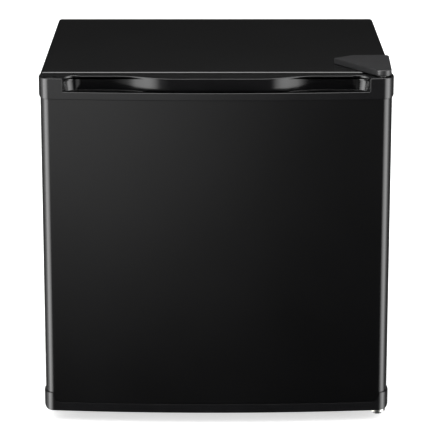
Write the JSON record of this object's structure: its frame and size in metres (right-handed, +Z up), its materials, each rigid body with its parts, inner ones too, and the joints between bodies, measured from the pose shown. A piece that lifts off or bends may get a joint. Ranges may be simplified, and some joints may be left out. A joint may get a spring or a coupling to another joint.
{
  "type": "mini fridge",
  "caption": "Free-standing cube fridge with a bowed black door, wavy top handle recess, chiller box, glass shelf, door racks, compressor and wire condenser.",
  "frame": {"origin": "on the floor, under the centre of the appliance's bounding box", "axes": "+Z up, door faces -Y, hinges on the +X side"},
  "size_m": [0.472, 0.45, 0.49],
  "materials": {
    "black_steel": "black paint, semi gloss",
    "bare_steel": "galvanised sheet steel",
    "foam": "rigid polyurethane foam",
    "white_plastic": "moulded, satin",
    "zinc_steel": "bright zinc plate",
    "black_plastic": "moulded, semi gloss",
    "black_rubber": "matt",
    "gasket_rubber": "soft extruded, satin",
    "black_enamel": "black enamel",
    "copper": "drawn copper tube",
    "aluminium": "rolled, brushed",
    "glass": "clear tempered",
    "clear_plastic": "clear moulded polystyrene"
  },
  "bodies": {
    "cabinet": {"outer_case": "black_steel", "front_rail": "black_steel", "rear_panel": "bare_steel", "base_pan": "bare_steel", "cabinet_foam": "foam", "inner_liner": "white_plastic", "upper_hinge_plate": "zinc_steel", "upper_hinge_pin": "zinc_steel", "upper_hinge_screws": "zinc_steel", "hinge_cover": "black_plastic", "lower_hinge_bracket": "zinc_steel", "lower_hinge_pin": "zinc_steel", "lower_hinge_screws": "zinc_steel", "hinge_washer": "white_plastic", "foot_inserts": "zinc_steel", "rear_feet": "black_plastic", "compressor_plate": "bare_steel", "compressor": "black_enamel", "compressor_grommets": "black_rubber", "compressor_bolts": "zinc_steel", "terminal_cover": "black_plastic", "cord_gland": "black_plastic", "evaporation_tray": "black_plastic", "drain_spout": "white_plastic", "condenser_coil": "black_enamel", "condenser_wires": "black_enamel", "condenser_brackets": "bare_steel", "filter_drier": "copper", "capillary_tube": "copper", "suction_line": "copper", "discharge_line": "copper", "evaporator_box": "aluminium", "evaporator_hangers": "white_plastic", "chiller_bezel": "white_plastic", "tray_runners": "white_plastic", "thermostat_housing": "white_plastic", "thermostat_body": "bare_steel", "thermostat_sensor": "copper", "glass_shelf": "glass", "shelf_trim": "white_plastic"},
    "door": {"door_panel": "black_steel", "door_top_cap": "black_plastic", "door_bottom_cap": "black_plastic", "door_foam": "foam", "door_liner": "white_plastic", "door_gasket": "gasket_rubber", "door_bushes": "white_plastic", "door_pin_plugs": "black_plastic", "door_screws": "zinc_steel", "upper_door_rack": "clear_plastic", "lower_door_rack": "clear_plastic"},
    "knob": {"thermostat_knob": "white_plastic"},
    "flap": {"chiller_flap": "clear_plastic"},
    "tray": {"drip_tray": "clear_plastic"},
    "left_foot": {"left_foot": "black_plastic"},
    "right_foot": {"right_foot": "black_plastic"}
  },
  "joints": [
    {"name": "door_hinge", "type": "hinge", "parent": "cabinet", "child": "door", "pos_m": [0.222, -0.195, 0.25], "axis": [0, 0, 1], "range_deg": [0, 130]},
    {"name": "knob_turn", "type": "hinge", "parent": "cabinet", "child": "knob", "pos_m": [0.125, -0.07, 0.414], "axis": [0, 1, 0], "range_deg": [0, 300]},
    {"name": "flap_hinge", "type": "hinge", "parent": "cabinet", "child": "flap", "pos_m": [-0.075, -0.076, 0.346], "axis": [1, 0, 0], "range_deg": [0, 90]},
    {"name": "tray_slide", "type": "slide", "parent": "cabinet", "child": "tray", "axis": [0, -1, 0], "range_m": [0, 0.06]},
    {"name": "left_foot_turn", "type": "hinge", "parent": "cabinet", "child": "left_foot", "pos_m": [-0.205, -0.13, 0], "axis": [0, 0, 1], "range_deg": [0, 1440]},
    {"name": "right_foot_turn", "type": "hinge", "parent": "cabinet", "child": "right_foot", "pos_m": [0.205, -0.13, 0], "axis": [0, 0, 1], "range_deg": [0, 1440]}
  ]
}
